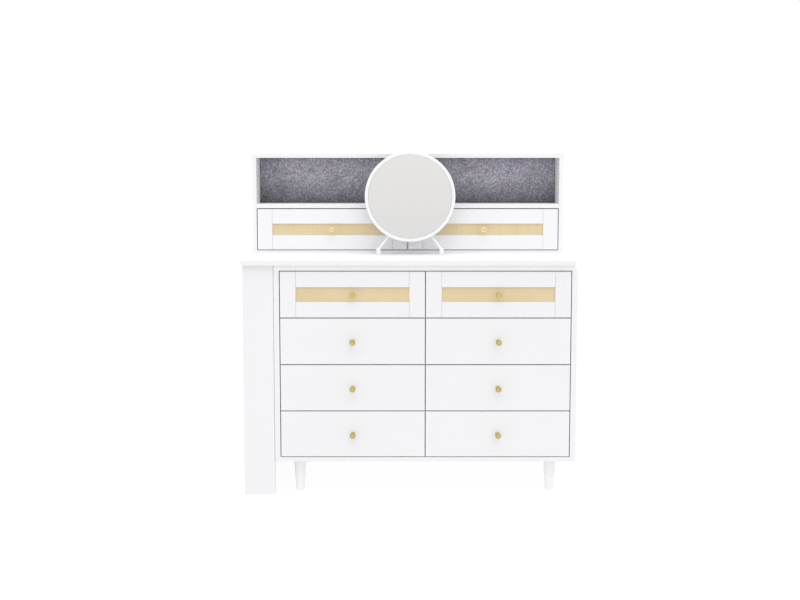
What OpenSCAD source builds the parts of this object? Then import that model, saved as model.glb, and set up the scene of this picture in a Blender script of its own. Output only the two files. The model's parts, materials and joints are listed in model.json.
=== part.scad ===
// Dressing table: a chest of eight drawers, and a desk that pulls out from it to the left with a
// leg, a hutch with two small drawers, and a round mirror on its own stand.
// Millimetres. The front faces -Y, +X is to the right when facing it, and the floor is z = 0.

/* [Chest] */
// Width of the chest over its side boards
chest_w = 998; // [800:1:1300]
// Depth of the chest, without its knobs
chest_d = 400; // [360:1:520]
// Thickness of the top board of the chest
chest_top_t = 16; // [12:0.5:25]
// Thickness of the side boards of the chest
chest_side_t = 18; // [12:0.5:25]
// Thickness of the bottom board of the chest
chest_bottom_t = 14; // [12:0.5:25]
// Thickness of the upright between the two columns of drawers
chest_divider_t = 18; // [12:0.5:25]
// Thickness of the back panel of the chest
chest_back_t = 5; // [3:0.5:9]
// How far the back panel is set in from the rear edges
chest_back_inset = 5; // [1:0.5:9]
// Space between the drawer fronts and the upright behind them
divider_setback = 1; // [0.5:0.5:4]
// How much every board edge is eased
ease = 0.8; // [0.3:0.1:1.5]
// Thickness of the glue line between the boards of one drawer
glue = 0.1; // [0.05:0.05:0.3]

/* [Feet] */
// Height of the feet
foot_h = 112; // [70:1:200]
// Radius of a foot where it meets the bottom board
foot_top_r = 21; // [16:0.5:30]
// Radius of a foot at the floor
foot_bottom_r = 13.5; // [9:0.5:20]
// Rounding of a foot's lower edge
foot_edge = 1.5; // [0.5:0.5:3]
// Distance from a side of the chest to a foot's centre
foot_inset_x = 78; // [45:1:150]
// Distance from the front or rear of the chest to a foot's centre
foot_inset_y = 50; // [35:1:90]
// Radius of the bolt that holds a foot
foot_bolt_r = 4; // [3:0.5:6]
// Depth of the bolt in the foot
foot_bolt_in_foot = 30; // [20:1:50]
// Depth of the bolt in the bottom board
foot_bolt_in_board = 10; // [6:0.5:11]
// Space around and beyond the bolt in its holes
bolt_clear = 0.1; // [0.05:0.05:0.3]

/* [Chest drawers] */
// Height of a drawer front
front_h = 153; // [145:0.5:200]
// Thickness of a drawer front
front_t = 16; // [12:0.5:20]
// Gap around the drawer fronts
front_gap = 2.5; // [1.5:0.25:4]
// Width of the frame members of the caned fronts
frame_w = 52; // [30:0.5:60]
// Thickness of the cane
cane_t = 2; // [1.5:0.25:3]
// How far the cane lies behind the face of its frame
cane_setback = 4; // [2:0.5:6]
// Thickness of the sides and back of a drawer
box_t = 14; // [12:0.5:18]
// Height of the sides of a drawer
box_h = 120; // [100:1:125]
// Space between the rear of a drawer and the back panel
box_rear_space = 24; // [5:1:60]
// Height of the drawer sides above the lower edge of the front
box_lift = 14; // [6:0.5:18]
// Space between a drawer side and the carcass
box_gap = 5; // [2:0.5:8]
// Thickness of a drawer bottom
bottom_t = 4; // [3:0.5:6]
// Height of the drawer bottom above the lower edge of its sides
bottom_lift = 10; // [5:0.5:16]
// Depth of the grooves that hold a drawer bottom
bottom_groove = 5; // [2:0.5:6]

/* [Drawer runners] */
// Height of a runner strip
runner_h = 16; // [12:0.5:24]
// Space between the rear of a runner and the back panel
runner_rear_space = 19; // [5:1:60]
// How far a runner reaches into the groove of a drawer side
runner_bite = 6.5; // [4:0.5:9]
// Distance of a runner behind the drawer front
runner_setback = 15; // [5:1:20]
// Height of a runner's lower edge above the lower edge of the drawer side
runner_lift = 50; // [28:1:70]
// Running space above and below a runner
runner_clear = 0.3; // [0.2:0.1:1]
// Space between the edge of a runner and the floor of its groove
runner_end_clear = 0.5; // [0.3:0.1:1.5]

/* [Knobs] */
// Radius of a knob's head
knob_r = 10.2; // [8:0.1:16]
// How far a knob stands out of a plain drawer front
knob_reach = 25; // [20:0.5:35]
// Thickness of a knob's head
knob_head_t = 7; // [5:0.5:10]
// Radius of a knob's stem
knob_stem_r = 4.5; // [3.5:0.1:6]
// Radius of a knob's foot
knob_base_r = 7; // [6.5:0.1:8]
// Thickness of a knob's foot
knob_base_t = 2; // [1.5:0.5:3]
// Rounding of a knob's edges
knob_edge = 1.2; // [0.4:0.1:2]
// Width of the raised rim around a knob's face
knob_rim = 2; // [1:0.1:3]
// Depth of the face inside the rim
knob_dish = 0.8; // [0.3:0.1:1.5]
// Radius of the screw that holds a knob
screw_r = 2; // [1.5:0.1:2.5]
// Radius of the screw's head
screw_head_r = 4; // [3:0.1:6]
// Thickness of the screw's head
screw_head_t = 2.2; // [1.5:0.1:3]
// Depth of the screw in the knob
screw_bite = 12; // [8:0.5:16]
// Space around the screw in the knob
screw_fit = 0.05; // [0.02:0.01:0.2]
// Space around the screw in the drawer front
screw_hole_clear = 0.3; // [0.1:0.1:0.8]

/* [Desk] */
// Depth of the desk board
desk_d = 400; // [360:1:520]
// Thickness of the desk board
desk_t = 18; // [15:0.5:30]
// How much the desk board's edges are eased
desk_ease = 1.5; // [0.5:0.25:3]
// How far the desk board stands in front of the chest and leg
desk_front_overhang = 10; // [2:0.5:20]
// How far the desk board stands out over the outer side of the leg
desk_side_overhang = 3; // [0.5:0.5:10]
// How far the right end of the desk board lies inside the side of the chest
desk_end_setback = 8; // [1:0.5:20]
// Space between the top of the chest and the desk board
desk_gap = 1; // [0.5:0.1:3]
// Width of the leg
leg_w = 101; // [60:1:200]
// Thickness of the leg's boards
leg_t = 18; // [12:0.5:25]
// Space between the leg and the chest
leg_gap = 1; // [0.5:0.1:4]
// How far the leg lies inside the rear edge of the desk board
leg_rear_setback = 2; // [0:0.5:10]

/* [Desk guides] */
// How far the desk pulls out
desk_travel = 600; // [300:1:620]
// Width of a guide track
track_w = 12; // [10:0.5:16]
// Height of a guide track, sunk flush in the top of the chest
track_h = 8; // [6:0.5:10]
// Wall of a guide track
track_wall = 1.2; // [1:0.1:2]
// Length of the tongue under the desk board
tongue_len = 300; // [200:1:330]
// Distance of the tongues from the right end of the desk board
tongue_setback = 12; // [8:1:30]
// Running space around a tongue
tongue_clear = 0.3; // [0.2:0.1:0.8]
// Distance of the tracks from the front and rear of the chest
track_inset = 80; // [50:1:140]
// Free length of track past each end of the tongue's travel
track_spare = 4; // [2:1:8]

/* [Hutch] */
// Depth of the hutch
hutch_d = 155; // [150:1:200]
// Thickness of the hutch's top board
hutch_top_t = 15; // [10:0.5:20]
// Thickness of the hutch's sides
hutch_side_t = 14; // [9:0.5:20]
// Thickness of the hutch's shelf
hutch_shelf_t = 15; // [10:0.5:20]
// Thickness of the hutch's bottom board
hutch_bottom_t = 9; // [6:0.5:16]
// Thickness of the upright between the hutch's drawers
hutch_divider_t = 12; // [8:0.5:18]
// Thickness of the hutch's back panel
hutch_back_t = 4; // [3:0.5:8]
// How far the hutch's back panel is set in from the rear edges
hutch_back_inset = 4; // [1:0.5:8]
// Clear height of the open shelf
shelf_clear_h = 161; // [120:1:260]
// Depth of the open shelf in front of the felt panel
shelf_clear_d = 89; // [60:1:110]
// Thickness of the felt panel
felt_t = 9; // [4:0.5:15]
// How far the top board stands out over the hutch's sides
hutch_top_overhang = 2.5; // [0.5:0.5:10]
// How far the top board's ends lie inside the ends of the desk board
hutch_end_setback = 1; // [0:0.5:20]

/* [Hutch drawers] */
// Height of a hutch drawer front
hutch_front_h = 143.5; // [125:0.5:180]
// Thickness of a hutch drawer front
hutch_front_t = 14; // [11:0.5:18]
// Width of the frame members of a hutch drawer front
hutch_frame_w = 51.5; // [30:0.5:55]
// Thickness of the sides and back of a hutch drawer
hutch_box_t = 10; // [8:0.5:14]
// Height of the sides of a hutch drawer
hutch_box_h = 95; // [70:1:115]
// Space between the rear of a hutch drawer and the back panel
hutch_box_rear_space = 11; // [3:0.5:30]
// Space beside a hutch drawer
hutch_box_gap = 1; // [0.5:0.1:3]
// Running space under a hutch drawer
hutch_box_clear = 0.3; // [0.2:0.1:1]

/* [Mirror] */
// Radius of the mirror's rim
mirror_r = 155.7; // [110:0.1:162]
// Width of the rim seen from the front
mirror_rim = 11.7; // [6:0.1:20]
// Depth of the rim
mirror_depth = 10; // [9:0.5:14]
// Rounding of the rim
mirror_edge = 2; // [0.5:0.25:2.5]
// Thickness of the mirror's back plate
mirror_back_t = 2.5; // [1.5:0.5:3]
// Thickness of the glass
glass_t = 4; // [3:0.5:5]
// Space around the glass
glass_clear = 0.3; // [0.1:0.1:0.8]
// Height of the mirror's centre above the desk board
mirror_lift = 200.9; // [190:0.1:260]
// Distance of the mirror's centre to the right of the middle of the desk board
mirror_offset_x = 7.5; // [-60:0.5:60]

/* [Mirror stand] */
// Space between the rods and the edge of the mirror's back
rod_clear = 1; // [0.5:0.1:3]
// Radius of the bolt that the mirror turns on
pivot_r = 3; // [2:0.25:4]
// Running space around the bolt in the lug
pivot_fit = 0.06; // [0.03:0.01:0.1]
// Space around the bolt in the ears of the fork, and under its heads
pivot_ear_fit = 0.05; // [0.02:0.01:0.1]
// Radius of the bolt's heads
pivot_head_r = 5.5; // [4.5:0.25:7]
// Thickness of the bolt's heads
pivot_head_t = 2; // [1:0.25:4]
// Width of the lug on the mirror's back
lug_w = 16; // [10:0.5:24]
// Radius of the lug around the pivot
lug_r = 7; // [5.5:0.25:8]
// Radius of the fork's ears around the pivot
ear_r = 8; // [5.5:0.25:8.5]
// Thickness of an ear
ear_t = 4; // [3:0.5:6]
// Space between the lug and an ear
ear_clear = 0.4; // [0.2:0.1:1]
// Drop from the pivot to the bridge of the fork
bridge_drop = 11; // [10:0.5:16]
// Thickness of the bridge
bridge_t = 9; // [6:0.5:14]
// Drop from the pivot to the point where the legs meet
post_drop = 44; // [30:0.5:50]
// Radius of the post
post_r = 5; // [4.5:0.25:6]
// Radius of the stand's rods
rod_r = 3.5; // [2.5:0.25:4]
// Distance from the middle of the stand to a foot
stand_foot_x = 108.7; // [80:0.5:130]
// Space between the rear of the stand and the front of the hutch
stand_rear_space = 9; // [4:0.5:20]
// Distance of the pivot behind the middle of the foot caps
stand_lean = 16; // [8:0.5:16]
// Depth of the stand on the desk board
stand_d = 62; // [45:0.5:70]
// Radius of a foot cap
cap_r = 8; // [7:0.25:9]
// Height of a foot cap
cap_h = 23; // [18:0.5:28]
// Height of the end of a rod that is inside its foot cap
rod_in_cap = 8; // [5:0.5:9]
// Space around a rod in its foot cap
cap_fit = 0.05; // [0.02:0.01:0.2]
// Space between the foot caps and the desk board
stand_gap = 0.3; // [0.1:0.1:0.5]

/* [Hidden] */
ROWS = 4;
COLUMNS = 2;
CANED_ROWS = 1;
$fn = 64;

WHITE = [0.95, 0.95, 0.96];
INNER_WHITE = [0.9, 0.9, 0.9];
CANE = [0.87, 0.8, 0.64];
BRASS = [0.83, 0.67, 0.33];
BEECH = [0.86, 0.73, 0.55];
STEEL = [0.7, 0.7, 0.72];
FELT = [0.5, 0.49, 0.53];
GLASS = [0.88, 0.88, 0.87];
PLASTIC = [0.3, 0.3, 0.32];

// A cut runs this far past the face that it opens
past = 1;

// Places across the width
total_w = desk_side_overhang + leg_w + leg_gap + chest_w;
desk_x = -total_w / 2;
leg_x = desk_x + desk_side_overhang;
chest_x = leg_x + leg_w + leg_gap;
desk_len = total_w - desk_end_setback;
desk_mid_x = desk_x + desk_len / 2;
inner_w = chest_w - 2 * chest_side_t;
cell_w = (inner_w - chest_divider_t) / COLUMNS;
front_w = (inner_w - (COLUMNS + 1) * front_gap) / COLUMNS;
box_w = cell_w - 2 * box_gap;

// Places through the depth
front_y = (knob_reach - chest_d) / 2;
back_y = front_y + chest_d - chest_back_inset - chest_back_t;
desk_y = front_y - desk_front_overhang;
leg_d = desk_d - desk_front_overhang - leg_rear_setback;
box_len = back_y - front_y - front_t - box_rear_space;
runner_y = front_y + front_t + runner_setback;
runner_len = back_y - runner_y - runner_rear_space;

// Heights
bay_z = foot_h + chest_bottom_t;
bay_h = ROWS * front_h + (ROWS + 1) * front_gap;
chest_top_z = bay_z + bay_h;
desk_z = chest_top_z + chest_top_t + desk_gap;
desk_top_z = desk_z + desk_t;

// The hutch, which stands flush with the rear edge of the desk board
hutch_x = desk_x + hutch_end_setback + hutch_top_overhang;
hutch_w = desk_len - 2 * (hutch_end_setback + hutch_top_overhang);
hutch_y = desk_y + desk_d - hutch_d;
hutch_inner_w = hutch_w - 2 * hutch_side_t;
hutch_bay_z = desk_top_z + hutch_bottom_t;
hutch_bay_h = hutch_front_h + 2 * front_gap;
shelf_z = hutch_bay_z + hutch_bay_h;
shelf_top_z = shelf_z + hutch_shelf_t;
hutch_top_z = shelf_top_z + shelf_clear_h;
hutch_back_y = hutch_y + hutch_d - hutch_back_inset - hutch_back_t;
hutch_cell_w = (hutch_inner_w - hutch_divider_t) / COLUMNS;
hutch_front_w = (hutch_inner_w - (COLUMNS + 1) * front_gap) / COLUMNS;
hutch_box_w = hutch_cell_w - 2 * hutch_box_gap;
hutch_box_len = hutch_back_y - hutch_y - hutch_front_t - hutch_box_rear_space;

// The guides under the desk board
guide_d = min(chest_d, desk_d - desk_front_overhang);
track_ys = [front_y + track_inset, front_y + guide_d - track_inset];
tongue_x = desk_x + desk_len - tongue_setback - tongue_len;
track_x = tongue_x - desk_travel - track_spare;
track_len = tongue_len + desk_travel + 2 * track_spare;
track_z = chest_top_z + chest_top_t - track_h;
tongue_w = track_w - 2 * track_wall - 2 * tongue_clear;

// The mirror and its stand
mirror_x = desk_mid_x + mirror_offset_x;
mirror_z = desk_top_z + mirror_lift;
cap_y = hutch_y - stand_rear_space - stand_d + cap_r;
cap_z = desk_top_z + stand_gap;
pivot_y = cap_y + stand_lean;
apex = [mirror_x, pivot_y, mirror_z - post_drop];
rod_drop = apex.z - (cap_z + cap_h - rod_in_cap / 2);
splay = stand_foot_x / rod_drop;
// Drop from the apex to the point where a rod passes the edge of the mirror
edge_drop = (sqrt(pow(mirror_r, 2) * (1 + pow(splay, 2)) - pow(splay * post_drop, 2)) - post_drop)
  / (1 + pow(splay, 2));
pivot_d = stand_lean * min(1, edge_drop / rod_drop) + rod_r + rod_clear;
mirror_y = pivot_y - pivot_d - mirror_depth;
glass_y = mirror_y + mirror_depth - mirror_back_t - glass_t;
fork_half_w = lug_w / 2 + ear_clear + ear_t;

// Names of the nodes
CHEST_NODES = ["chest_top_board", "chest_left_side", "chest_right_side", "chest_bottom_board",
  "chest_divider", "chest_back_panel", "drawer_runners", "feet", "foot_bolts", "desk_tracks"];
DESK_NODES = ["desk_board", "leg_front_board", "leg_side_board", "leg_back_board", "desk_tongues"];
HUTCH_NODES = ["hutch_top_board", "hutch_sides", "hutch_shelf", "hutch_bottom_board",
  "hutch_divider", "hutch_back_panel", "felt_panel"];
MIRROR_NODES = ["mirror_stand", "mirror_foot_caps", "mirror_frame", "mirror_glass"];

// Drawers count from the top left, row by row
function drawer_node(i, piece) = str("drawer_", i, "_", piece);
function hutch_drawer_node(i, piece) = str("hutch_drawer_", i, "_", piece);
function column(i) = (i - 1) % COLUMNS;
function row(i) = floor((i - 1) / COLUMNS);
function is_caned(i) = row(i) < CANED_ROWS;
function front_x(i) = chest_x + chest_side_t + front_gap + column(i) * (front_w + front_gap);
function front_z(i) = chest_top_z - (row(i) + 1) * (front_h + front_gap);
function cell_x(i) = chest_x + chest_side_t + column(i) * (cell_w + chest_divider_t);
function hutch_front_x(i) = hutch_x + hutch_side_t + front_gap + column(i) * (hutch_front_w + front_gap);
function hutch_cell_x(i) = hutch_x + hutch_side_t + column(i) * (hutch_cell_w + hutch_divider_t);

// A rectangle with its corners cut by e
module eased_rect(w, h, e) {
  polygon([[e, 0], [w - e, 0], [w, e], [w, h - e], [w - e, h], [e, h], [0, h - e], [0, e]]);
}

// A board with every edge eased by e
module board(size, e = ease) {
  intersection() {
    linear_extrude(size.z)
      eased_rect(size.x, size.y, e);
    translate([0, size.y, 0])
      rotate([90, 0, 0])
        linear_extrude(size.y)
          eased_rect(size.x, size.z, e);
    rotate([90, 0, 90])
      linear_extrude(size.x)
        eased_rect(size.y, size.z, e);
  }
}

// A round bar of length l that runs towards +Y
module bar_y(r, l) {
  rotate([-90, 0, 0])
    cylinder(r = r, h = l);
}

// A round rod from point a to point b
module rod(a, b, r) {
  d = b - a;
  translate(a)
    rotate([0, acos(d.z / norm(d)), atan2(d.y, d.x)])
      cylinder(r = r, h = norm(d));
}

// The chest
module chest_top_board() {
  color(WHITE)
    difference() {
      translate([chest_x, front_y, chest_top_z])
        board([chest_w, chest_d, chest_top_t]);
      for (y = track_ys)
        translate([track_x, y - track_w / 2, track_z])
          cube([track_len, track_w, track_h + past]);
    }
}

module chest_side(x) {
  color(WHITE)
    translate([x, front_y, bay_z])
      board([chest_side_t, chest_d, bay_h]);
}

module chest_bottom_board() {
  color(WHITE)
    difference() {
      translate([chest_x, front_y, foot_h])
        board([chest_w, chest_d, chest_bottom_t]);
      at_feet()
        translate([0, 0, foot_h - past])
          cylinder(r = foot_bolt_r + bolt_clear, h = foot_bolt_in_board + bolt_clear + past);
    }
}

module chest_divider() {
  y = front_y + front_t + divider_setback;
  color(INNER_WHITE)
    translate([chest_x + (chest_w - chest_divider_t) / 2, y, bay_z])
      cube([chest_divider_t, back_y - y, bay_h]);
}

module chest_back_panel() {
  color(INNER_WHITE)
    translate([chest_x + chest_side_t, back_y, bay_z])
      cube([inner_w, chest_back_t, bay_h]);
}

// Each drawer hangs on two strips that lie in the grooves of its sides
module drawer_runners() {
  w = box_gap + runner_bite;
  color(BEECH)
    for (i = [1 : ROWS * COLUMNS])
      for (x = [cell_x(i), cell_x(i) + cell_w - w])
        translate([x, runner_y, front_z(i) + box_lift + runner_lift])
          cube([w, runner_len, runner_h]);
}

module at_feet() {
  for (x = [chest_x + foot_inset_x, chest_x + chest_w - foot_inset_x])
    for (y = [front_y + foot_inset_y, front_y + chest_d - foot_inset_y])
      translate([x, y, 0])
        children();
}

module feet() {
  hole = foot_bolt_in_foot + bolt_clear;
  color(WHITE)
    at_feet()
      difference() {
        rotate_extrude()
          polygon([[0, 0], [foot_bottom_r - foot_edge, 0], [foot_bottom_r, foot_edge],
            [foot_top_r, foot_h], [0, foot_h]]);
        translate([0, 0, foot_h - hole])
          cylinder(r = foot_bolt_r + bolt_clear, h = hole + past);
      }
}

module foot_bolts() {
  color(STEEL)
    at_feet()
      translate([0, 0, foot_h - foot_bolt_in_foot])
        cylinder(r = foot_bolt_r, h = foot_bolt_in_foot + foot_bolt_in_board);
}

// Channels sunk in the top of the chest, in which the desk's tongues run
module desk_tracks() {
  color(STEEL)
    for (y = track_ys)
      translate([track_x, y - track_w / 2, track_z])
        difference() {
          cube([track_len, track_w, track_h]);
          translate([-past, track_wall, track_wall])
            cube([track_len + 2 * past, track_w - 2 * track_wall, track_h]);
        }
}

// The desk and its leg
module desk_board() {
  color(WHITE)
    translate([desk_x, desk_y, desk_z])
      board([desk_len, desk_d, desk_t], desk_ease);
}

module desk_tongues() {
  z = track_z + track_wall + tongue_clear;
  color(PLASTIC)
    for (y = track_ys)
      translate([tongue_x, y - tongue_w / 2, z])
        cube([tongue_len, tongue_w, desk_z - z]);
}

module leg_end_board(y) {
  color(WHITE)
    translate([leg_x, y, 0])
      board([leg_w, leg_t, desk_z]);
}

module leg_side_board() {
  color(WHITE)
    translate([leg_x, front_y + leg_t, 0])
      board([leg_t, leg_d - 2 * leg_t, desk_z]);
}

// The hutch
module hutch_top_board() {
  color(WHITE)
    translate([hutch_x - hutch_top_overhang, hutch_y, hutch_top_z])
      board([hutch_w + 2 * hutch_top_overhang, hutch_d, hutch_top_t]);
}

module hutch_sides() {
  color(WHITE)
    for (x = [hutch_x, hutch_x + hutch_w - hutch_side_t])
      translate([x, hutch_y, hutch_bay_z])
        board([hutch_side_t, hutch_d, hutch_top_z - hutch_bay_z]);
}

module hutch_shelf() {
  color(WHITE)
    translate([hutch_x + hutch_side_t, hutch_y, shelf_z])
      board([hutch_inner_w, hutch_back_y - hutch_y, hutch_shelf_t]);
}

module hutch_bottom_board() {
  color(WHITE)
    translate([hutch_x, hutch_y, desk_top_z])
      board([hutch_w, hutch_d, hutch_bottom_t]);
}

module hutch_divider() {
  y = hutch_y + hutch_front_t + divider_setback;
  color(INNER_WHITE)
    translate([hutch_x + (hutch_w - hutch_divider_t) / 2, y, hutch_bay_z])
      cube([hutch_divider_t, hutch_back_y - y, hutch_bay_h]);
}

module hutch_back_panel() {
  color(INNER_WHITE)
    translate([hutch_x + hutch_side_t, hutch_back_y, hutch_bay_z])
      cube([hutch_inner_w, hutch_back_t, hutch_top_z - hutch_bay_z]);
}

module felt_panel() {
  color(FELT)
    translate([hutch_x + hutch_side_t, hutch_y + shelf_clear_d, shelf_top_z])
      cube([hutch_inner_w, felt_t, shelf_clear_h]);
}

// Drawer pieces, with the left lower corner of the front's face at the origin
module screw_hole(w, h, t) {
  translate([w / 2, -past, h / 2])
    bar_y(screw_r + screw_hole_clear, t + 2 * past);
}

module plain_front(w, h, t) {
  color(WHITE)
    difference() {
      board([w, t, h]);
      screw_hole(w, h, t);
    }
}

// Two stiles, two rails and the panel that backs the cane
module framed_front(w, h, t, member) {
  panel_y = cane_setback + cane_t;
  color(WHITE) {
    for (x = [0, w - member])
      translate([x, 0, 0])
        board([member, t, h]);
    for (z = [0, h - member])
      translate([member + glue, 0, z])
        board([w - 2 * (member + glue), t, member]);
    difference() {
      translate([member + glue, panel_y, member + glue])
        cube([w - 2 * (member + glue), t - panel_y, h - 2 * (member + glue)]);
      screw_hole(w, h, t);
    }
  }
}

module cane_insert(w, h, member) {
  color(CANE)
    difference() {
      translate([member + glue, cane_setback, member + glue])
        cube([w - 2 * (member + glue), cane_t, h - 2 * (member + glue)]);
      screw_hole(w, h, cane_setback + cane_t);
    }
}

// A turned knob that stands on a face at depth seat, and its screw through a front of thickness t
module knob(w, h, t, seat) {
  neck = knob_reach - knob_head_t;
  dish_r = knob_r - knob_edge - knob_rim;
  translate([w / 2, seat, h / 2])
    color(BRASS) {
      rotate([90, 0, 0])
        difference() {
          rotate_extrude()
            polygon([[0, 0], [knob_base_r, 0], [knob_base_r, knob_base_t - knob_edge / 2],
              [knob_base_r - knob_edge / 2, knob_base_t], [knob_stem_r, knob_base_t],
              [knob_stem_r, neck - knob_edge], [knob_r - knob_edge, neck],
              [knob_r, neck + knob_edge], [knob_r, knob_reach - knob_edge],
              [knob_r - knob_edge, knob_reach], [dish_r, knob_reach],
              [dish_r - knob_dish, knob_reach - knob_dish], [0, knob_reach - knob_dish]]);
          translate([0, 0, -past])
            cylinder(r = screw_r + screw_fit, h = screw_bite + screw_fit + past);
        }
      translate([0, -screw_bite, 0])
        bar_y(screw_r, screw_bite + t - seat);
      translate([0, t - seat, 0])
        bar_y(screw_head_r, screw_head_t);
    }
}

// Sides, back and bottom of a drawer, with the front left lower corner at the origin
module drawer_box(w, l, h, t, grooved) {
  groove_d = runner_bite + runner_end_clear;
  bottom_x = t - bottom_groove;
  color(INNER_WHITE) {
    for (right = [0, 1])
      translate([right * w, 0, 0])
        mirror([right, 0, 0])
          difference() {
            board([t, l, h]);
            translate([bottom_x, -past, bottom_lift])
              cube([bottom_groove + past, l - t + past, bottom_t]);
            if (grooved)
              translate([-past, -past, runner_lift - runner_clear])
                cube([groove_d + past, l + 2 * past, runner_h + 2 * runner_clear]);
          }
    translate([t + glue, l - t, 0])
      board([w - 2 * (t + glue), t, h]);
    translate([bottom_x + glue, 0, bottom_lift + glue])
      cube([w - 2 * (bottom_x + glue), l - t - glue, bottom_t - 2 * glue]);
  }
}

module at_drawer(i) {
  translate([front_x(i), front_y, front_z(i)])
    children();
}

module at_hutch_drawer(i) {
  translate([hutch_front_x(i), hutch_y, hutch_bay_z + front_gap])
    children();
}

module drawer_front(i) {
  at_drawer(i)
    if (is_caned(i))
      framed_front(front_w, front_h, front_t, frame_w);
    else
      plain_front(front_w, front_h, front_t);
}

module drawer_box_of(i) {
  translate([cell_x(i) + box_gap, front_y + front_t, front_z(i) + box_lift])
    drawer_box(box_w, box_len, box_h, box_t, true);
}

module hutch_drawer_box_of(i) {
  translate([hutch_cell_x(i) + hutch_box_gap, hutch_y + hutch_front_t, hutch_bay_z + hutch_box_clear])
    drawer_box(hutch_box_w, hutch_box_len, hutch_box_h, hutch_box_t, false);
}

// The mirror, its back plate with the lug, and its stand
module mirror_frame() {
  inner = mirror_r - mirror_rim + glass_clear;
  seat = mirror_depth - mirror_back_t;
  color(WHITE) {
    difference() {
      union() {
        translate([mirror_x, mirror_y + mirror_depth, mirror_z])
          rotate([90, 0, 0])
            rotate_extrude($fn = 128)
              polygon([[0, 0], [mirror_r - mirror_edge, 0], [mirror_r, mirror_edge],
                [mirror_r, mirror_depth - mirror_edge], [mirror_r - mirror_edge, mirror_depth],
                [inner, mirror_depth], [inner, mirror_back_t], [0, mirror_back_t]]);
        translate([mirror_x - lug_w / 2, mirror_y + seat, mirror_z - lug_r])
          cube([lug_w, mirror_back_t + pivot_d, 2 * lug_r]);
        at_pivot(lug_w)
          cylinder(r = lug_r, h = lug_w);
      }
      at_pivot(lug_w + 2 * past)
        cylinder(r = pivot_r + pivot_fit, h = lug_w + 2 * past);
    }
  }
}

// Turns a cylinder of length l so that it lies centred on the pivot
module at_pivot(l) {
  translate([mirror_x - l / 2, pivot_y, mirror_z])
    rotate([0, 90, 0])
      children();
}

module mirror_glass() {
  color(GLASS)
    translate([mirror_x, glass_y, mirror_z])
      rotate([-90, 0, 0])
        cylinder(r = mirror_r - mirror_rim, h = glass_t, $fn = 128);
}

// The lower end of a rod, which crosses the middle of its cap halfway down the bore
function rod_end(side, deeper = 0) =
  apex + [side * stand_foot_x, -stand_lean, -rod_drop] * (1 + (rod_in_cap / 2 + deeper) / rod_drop);

// The two ears that stand on each side of the lug, bored for the bolt
module fork_ears() {
  difference() {
    for (side = [-1, 1])
      translate([mirror_x + side * (fork_half_w - ear_t / 2) - ear_t / 2, pivot_y, mirror_z]) {
        rotate([0, 90, 0])
          cylinder(r = ear_r, h = ear_t);
        translate([0, -post_r, -bridge_drop - bridge_t])
          cube([ear_t, 2 * post_r, bridge_drop + bridge_t]);
      }
    at_pivot(2 * (fork_half_w + past))
      cylinder(r = pivot_r + pivot_ear_fit, h = 2 * (fork_half_w + past));
  }
}

// The bolt that the mirror turns on, with a head at each end
module pivot_bolt() {
  l = 2 * (fork_half_w + pivot_ear_fit);
  at_pivot(l)
    cylinder(r = pivot_r, h = l);
  for (side = [-1, 1])
    translate([side * (l + pivot_head_t) / 2, 0, 0])
      at_pivot(pivot_head_t)
        cylinder(r = pivot_head_r, h = pivot_head_t);
}

// The fork and its bolt, the post, the two splayed rods and the bars that run back from the feet
module mirror_stand() {
  color(WHITE) {
    fork_ears();
    pivot_bolt();
    translate([mirror_x - fork_half_w, pivot_y - post_r, mirror_z - bridge_drop - bridge_t])
      cube([2 * fork_half_w, 2 * post_r, bridge_t]);
    translate(apex)
      cylinder(r = post_r, h = post_drop - bridge_drop);
    translate(apex)
      sphere(r = post_r);
    for (side = [-1, 1])
      rod(apex, rod_end(side), rod_r);
    for (side = [-1, 1])
      translate([mirror_x + side * stand_foot_x, cap_y, cap_z + rod_r])
        bar_y(rod_r, stand_d - cap_r);
  }
}

// Caps on the feet, bored for the rod from above and for the bar that runs back
module mirror_foot_caps() {
  color(WHITE)
    for (side = [-1, 1])
      difference() {
        translate([mirror_x + side * stand_foot_x, cap_y, cap_z])
          cylinder(r = cap_r, h = cap_h);
        rod(apex, rod_end(side, cap_fit), rod_r + cap_fit);
        translate([mirror_x + side * stand_foot_x, cap_y - cap_fit, cap_z + rod_r])
          bar_y(rod_r + cap_fit, stand_d - cap_r);
      }
}

chest_top_board();
chest_side(chest_x);  // chest_left_side
chest_side(chest_x + chest_w - chest_side_t);  // chest_right_side
chest_bottom_board();
chest_divider();
chest_back_panel();
drawer_runners();
feet();
foot_bolts();
desk_tracks();
desk_board();
desk_tongues();
leg_end_board(front_y);  // leg_front_board
leg_side_board();
leg_end_board(front_y + leg_d - leg_t);  // leg_back_board
hutch_top_board();
hutch_sides();
hutch_shelf();
hutch_bottom_board();
hutch_divider();
hutch_back_panel();
felt_panel();
mirror_stand();
mirror_foot_caps();
mirror_frame();
mirror_glass();
for (i = [1 : ROWS * COLUMNS]) {
  drawer_front(i);
  drawer_box_of(i);
  at_drawer(i) knob(front_w, front_h, front_t, is_caned(i) ? cane_setback : 0);
}
for (i = [1 : CANED_ROWS * COLUMNS])
  at_drawer(i) cane_insert(front_w, front_h, frame_w);
for (i = [1 : COLUMNS]) {
  at_hutch_drawer(i) framed_front(hutch_front_w, hutch_front_h, hutch_front_t, hutch_frame_w);
  hutch_drawer_box_of(i);
  at_hutch_drawer(i) knob(hutch_front_w, hutch_front_h, hutch_front_t, cane_setback);
  at_hutch_drawer(i) cane_insert(hutch_front_w, hutch_front_h, hutch_frame_w);
}
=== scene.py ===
"""The looks of the dressing table: finer boards, woven cane, felt, turned knobs and feet, and the mirror.

Lengths are in metres, and the scales of noises are in cells per metre. The front faces -Y, and Z is up.
"""

import json
import math
import random

import bmesh
import bpy
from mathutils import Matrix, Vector, noise


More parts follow.
